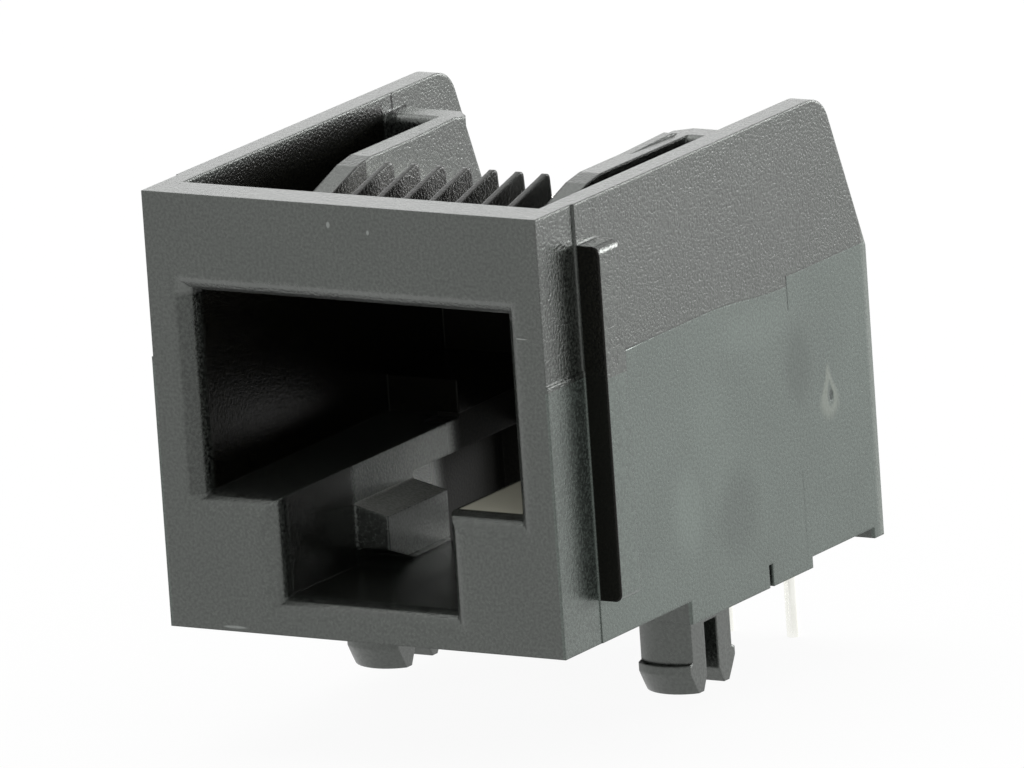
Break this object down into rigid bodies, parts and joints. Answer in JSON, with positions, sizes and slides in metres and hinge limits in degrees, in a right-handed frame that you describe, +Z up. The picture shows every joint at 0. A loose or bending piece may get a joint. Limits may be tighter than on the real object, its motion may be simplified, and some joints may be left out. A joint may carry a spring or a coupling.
{
  "type": "rj45 board jack",
  "caption": "Right-angle modular jack for a circuit board: open-top black housing with panel stops, split snap pegs and bent wire contacts.",
  "frame": {"origin": "on the plane of the circuit board, midway between the two snap pegs", "axes": "+X across the jack, to the right seen from the plug side; +Y the way the plug goes in; +Z up from the board"},
  "size_m": [0.0172, 0.0204, 0.0193],
  "materials": {
    "black_moulding": "satin black moulded thermoplastic with a fine spark-eroded grain",
    "contact_wire": "tinned phosphor bronze wire"
  },
  "bodies": {
    "root": {"housing": "black_moulding", "contact_1": "contact_wire", "contact_2": "contact_wire", "contact_3": "contact_wire", "contact_4": "contact_wire", "contact_5": "contact_wire", "contact_6": "contact_wire", "contact_7": "contact_wire", "contact_8": "contact_wire"}
  },
  "joints": []
}
